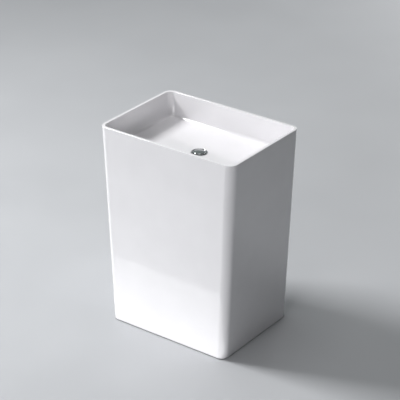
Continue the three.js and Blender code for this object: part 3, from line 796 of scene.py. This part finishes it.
def plug_stem():
    box = Box("plug_stem")
    plate_top = Box("plug_seal").z0 - GAP
    shoulder = Box("index_rotor").z1 + GAP
    plate_z = plate_top - PLATE_THICK
    profile = [(0, box.z0), (ROD_R, box.z0, 0.5), (ROD_R, shoulder), (NECK_R, shoulder, 0.3),
               (NECK_R, plate_z, 0.8), (box.r, plate_z, 0.4), (box.r, plate_top, 0.4),
               (NECK_R, plate_top)]
    loops = [round_loop(r, z, SMALL) for r, z in rounded(profile)]
    loops += thread(NECK_R, plate_top + 0.5, box.z1 - 0.5, 1, 0.5, SMALL)
    loops += [round_loop(NECK_R - 0.4, box.z1, SMALL), round_loop(0, box.z1)]
    stand_in(skin("stem", loops), "plug_stem", "brass")


def cartridge():
    """The latch's body, with the lip that hangs on the spider, and its snap-in cap."""
    box = Box("cartridge_body")
    floor_z = box.z0 + CARTRIDGE_BASE
    lip = floor_z + HUB_HEIGHT + GAP
    bore = ROD_R + GAP
    profile = [(bore, box.z0, 0.3), (CARTRIDGE_R, box.z0, 0.8), (CARTRIDGE_R, lip),
               (box.r, lip, 0.3), (box.r, lip + 2, 0.5), (CARTRIDGE_R, lip + 2, 0.3),
               (CARTRIDGE_R, box.z1, 0.5), (CARTRIDGE_BORE, box.z1, 0.3),
               (CARTRIDGE_BORE, floor_z), (bore, floor_z, 0.3)]
    stand_in(turned("cartridge", profile, ring=True, count=SMALL), "cartridge_body", "brass")
    plain_ring("cartridge_cap", NECK_R + GAP, "white_plastic", 0.6, SMALL)


def index_rotor():
    """A ring with four slots that the latch's pawls drop into."""
    box = Box("index_rotor")

    def outside(angle, z):
        off = abs((angle + TURN / 8) % (TURN / 4) - TURN / 8) * box.r
        slot = 1 - ease((off - 0.5) / 0.5)
        return box.r - slot * ease((z - box.z0 - 1.7) / 0.6)

    heights = [box.z0 + (box.z1 - box.z0) * k / 20 for k in range(21)]
    loops = [round_loop(outside, z, ROUND) for z in heights]
    loops += [round_loop(ROD_R + GAP, z, ROUND) for z in (box.z1, box.z0)]
    stand_in(skin("rotor", loops, ring=True), "index_rotor", "white_plastic")


def plug_spring():
    """A coil spring with closed end turns, which sits between the cartridge and the plug."""
    box = Box("plug_spring")
    turns, per_turn, sides = 7, 48, 12
    mean = (ROD_R + CARTRIDGE_BORE) / 2
    z0, z1 = box.z0 + WIRE_R, box.z1 - WIRE_R
    closed = 2.2 * WIRE_R
    open_pitch = (z1 - z0 - 2 * closed) / (turns - 2)
    loops = []
    for k in range(turns * per_turn + 1):
        turn = k / per_turn
        rise = closed * min(turn, 1) + open_pitch * min(max(turn - 1, 0), turns - 2)
        rise += closed * max(turn - turns + 1, 0)
        out = Vector((math.cos(TURN * turn), math.sin(TURN * turn), 0))
        centre = out * mean + Vector((0, 0, z0 + rise))
        loops.append([tuple(centre + out * WIRE_R * math.cos(TURN * i / sides)
                            + Vector((0, 0, WIRE_R * math.sin(TURN * i / sides))))
                      for i in range(sides)])
    spring = skin("spring", loops)
    spring.name = "visual_plug_spring"
    spring.data.materials.append(FINISHES["steel"])
    shade(spring, 60)
    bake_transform(spring)
    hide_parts("plug_spring")


drain_body()
plain_ring("flange_seal", HOLE_R, "rubber")
underside_seal()
plain_ring("slip_washer", THREAD_BORE, "white_plastic", 0.4)
lock_nut = Box("lock_nut")
hex_nut("lock_nut", lock_nut.x1 - lock_nut.x0, THREAD_BORE, "brass")
plug_cap()
plug_seal()
plug_stem()
cartridge()
index_rotor()
plug_spring()


# ---- Bottle trap and waste -----------------------------------------------------------------------


def union_nut(name, length, top_r):
    """A ribbed union nut about Z, its lip at the bottom at z = 0, made of loops."""
    def ribbed(angle, z):
        wave = math.cos(NUT_RIBS * angle - TURN / 4)
        rib = (1 + max(-1, min(1, wave * 1.8))) / 2
        ends = ease((z - 1.6) / 2) * ease((length - 1.6 - z) / 2)
        return top_r - NUT_RIB + NUT_RIB * ease(rib) * ends - max(0, 1 - z) ** 2

    heights = [length * k / 40 for k in range(41)]
    loops = [round_loop(PIPE_CLEAR + 3, 0, FINE)]
    loops += [round_loop(ribbed, z, FINE) for z in heights]
    sink = 0.6
    inner = [(THREAD_BORE + sink, length), (THREAD_BORE, length - sink), (THREAD_BORE, NUT_LIP),
             (PIPE_CLEAR, NUT_LIP), (PIPE_CLEAR, sink), (PIPE_CLEAR + sink, 0)]
    loops += [round_loop(r, z, FINE) for r, z in inner]
    return skin(name, loops, ring=True)


def trap_nuts():
    for node, turned_over, along_y in (("inlet_nut", False, False), ("top_nut", True, False),
                                       ("outlet_nut", True, True)):
        box = Box(node)
        length = box.y1 - box.y0 if along_y else box.z1 - box.z0
        made = union_nut(node, length, box.r)
        if turned_over:
            lift = Matrix.Translation((0, 0, length * MM))
            made.data.transform(lift @ Matrix.Rotation(math.pi, 4, "X"))
        if along_y:
            put(made, 0, box.y0, box.z, along_y=True)
        else:
            put(made, 0, 0, box.z0)
        stand_in(made, node, "chrome", sharp=50)


def cone_washer(node, along_y=False):
    box = Box(node)
    thick = box.y1 - box.y0 if along_y else box.z1 - box.z0
    profile = [(PIPE_CLEAR, 0, 0.2), (box.r, 0, 0.4), (box.r - 1, thick, 0.4),
               (PIPE_CLEAR, thick, 0.2)]
    made = turned(node, profile, ring=True)
    if along_y:
        put(made, 0, box.y0, box.z, along_y=True)
    else:
        put(made, 0, 0, box.z0)
    stand_in(made, node, "rubber")


def inlet_tube():
    box = Box("inlet_tube")
    flange = box.z1 - 2
    profile = [(PIPE_BORE, box.z0, 0.5), (PIPE_R, box.z0, 0.7), (PIPE_R, flange, 0.6),
               (box.r, flange, 0.5), (box.r, box.z1, 0.5), (PIPE_BORE, box.z1, 0.8)]
    stand_in(turned("inlet", profile, ring=True), "inlet_tube", "chrome")


def trap_body():
    """The trap's head: a neck and a side branch for the nuts, and a male thread for the cup."""
    box = Box("trap_body")
    neck = 21
    shoulder = box.z1 - 16
    branch_z = Box("outlet_nut").z
    seal_top = Box("trap_cup").z1
    loops = [round_loop(0, box.z0), round_loop(TRAP_R - 1, box.z0)]
    loops += thread(TRAP_R, box.z0 + 0.2, seal_top + 0.2, TRAP_PITCH, 1.3)
    upper = rounded([(TRAP_R, seal_top + 0.5), (TRAP_R, shoulder - 8, 6),
                     (TRAP_R - 4, shoulder - 1.5, 3), (neck, shoulder + 0.5, 2.5),
                     (neck, box.z1, 0.6), (0, box.z1)], steps=8)
    loops += [round_loop(r, z) for r, z in upper]
    body = skin("trap", loops)
    flare = rounded([(0, 10), (neck + 5, 10), (neck + 5, TRAP_R - 4), (neck + 3, TRAP_R + 1, 3),
                     (neck, TRAP_R + 4, 4), (neck, box.y1, 0.6), (0, box.y1)])
    branch = skin("branch", [round_loop(r, z) for r, z in flare])
    combine(body, put(branch, 0, 0, branch_z, along_y=True), "UNION")
    inner = TRAP_R - TRAP_WALL
    cavity = [(0, box.z0 - 1), (inner, box.z0 - 1), (inner, shoulder - 9, 4),
              (PIPE_CLEAR, shoulder - 3, 2), (PIPE_CLEAR, box.z1 + 1), (0, box.z1 + 1)]
    combine(body, turned("cavity", cavity), "DIFFERENCE")
    outlet = turned("outlet", [(0, 0), (PIPE_CLEAR, 0), (PIPE_CLEAR, box.y1 + 1), (0, box.y1 + 1)])
    combine(body, put(outlet, 0, 0, branch_z, along_y=True), "DIFFERENCE")
    stand_in(body, "trap_body", "chrome", sharp=35)


def trap_cup():
    """The cup that unscrews for cleaning, with a flute for each finger."""
    box = Box("trap_cup")
    bore, well = TRAP_R + GAP, TRAP_R - TRAP_WALL
    ledge = Box("cup_seal").z0 - GAP
    flute_from, flute_to = box.z0 + 10, ledge - 8

    def fluted(radius):
        def outside(angle, z):
            off = (angle % (TURN / CUP_FLUTES)) - TURN / CUP_FLUTES / 2
            depth = ease((z - flute_from) / 6) * ease((flute_to - z) / 6)
            axis, tool = box.r + 4, 4 + depth
            across = axis * math.sin(abs(off))
            if across >= tool:
                return radius
            return min(radius, axis * math.cos(off) - math.sqrt(tool * tool - across * across))
        return outside

    lower = rounded([(0, box.z0), (box.r - 7, box.z0, 1), (box.r, box.z0 + 6, 9),
                     (box.r, flute_from)], steps=10)
    heights = [flute_from + (flute_to - flute_from) * k / 48 for k in range(49)]
    upper = rounded([(box.r, flute_to), (box.r, flute_to + 4, 0.5),
                     (box.r - 0.6, flute_to + 5, 0.5), (box.r - 0.6, flute_to + 6, 0.5),
                     (box.r, flute_to + 7, 0.5), (box.r, box.z1, 0.8), (bore, box.z1, 0.5),
                     (bore, ledge), (well, ledge, 0.4), (well, box.z0 + 6, 5),
                     (well - 5, box.z0 + 4), (0, box.z0 + 4)])
    loops = [round_loop(r, z, FINE) for r, z in lower]
    loops += [round_loop(fluted(box.r), z, FINE) for z in heights[1:-1]]
    loops += [round_loop(r, z, FINE) for r, z in upper]
    stand_in(skin("cup", loops), "trap_cup", "chrome", sharp=35)


def outlet_tube():
    box = Box("outlet_tube")
    length = box.y1 - box.y0
    profile = [(PIPE_BORE, 0, 0.5), (PIPE_R, 0, 0.7), (PIPE_R, length, 0.5),
               (PIPE_BORE, length, 0.5)]
    made = turned("outlet", profile, ring=True)
    stand_in(put(made, 0, box.y0, box.z, along_y=True), "outlet_tube", "chrome")


def wall_flange():
    box = Box("wall_flange")
    deep = box.y1 - box.y0
    skin_thick = 1.6
    profile = [(PIPE_CLEAR, 0, 0.4), (PIPE_CLEAR + 5, 0, 4), (box.r - 5, deep - 2.6, 4),
               (box.r, deep, 0.3), (box.r - 3, deep), (box.r - 6, deep - 1.4, 2),
               (PIPE_CLEAR + 4, skin_thick, 2), (PIPE_CLEAR, skin_thick, 0.3)]
    made = turned("flange", profile[::-1], ring=True)
    stand_in(put(made, 0, box.y0, box.z, along_y=True), "wall_flange", "chrome")


trap_nuts()
plain_ring("inlet_washer", PIPE_BORE, "rubber")
cone_washer("top_washer")
cone_washer("outlet_washer", along_y=True)
inlet_tube()
trap_body()
trap_cup()
plain_ring("cup_seal", TRAP_R - TRAP_WALL + GAP, "rubber", 0.5)
outlet_tube()
wall_flange()
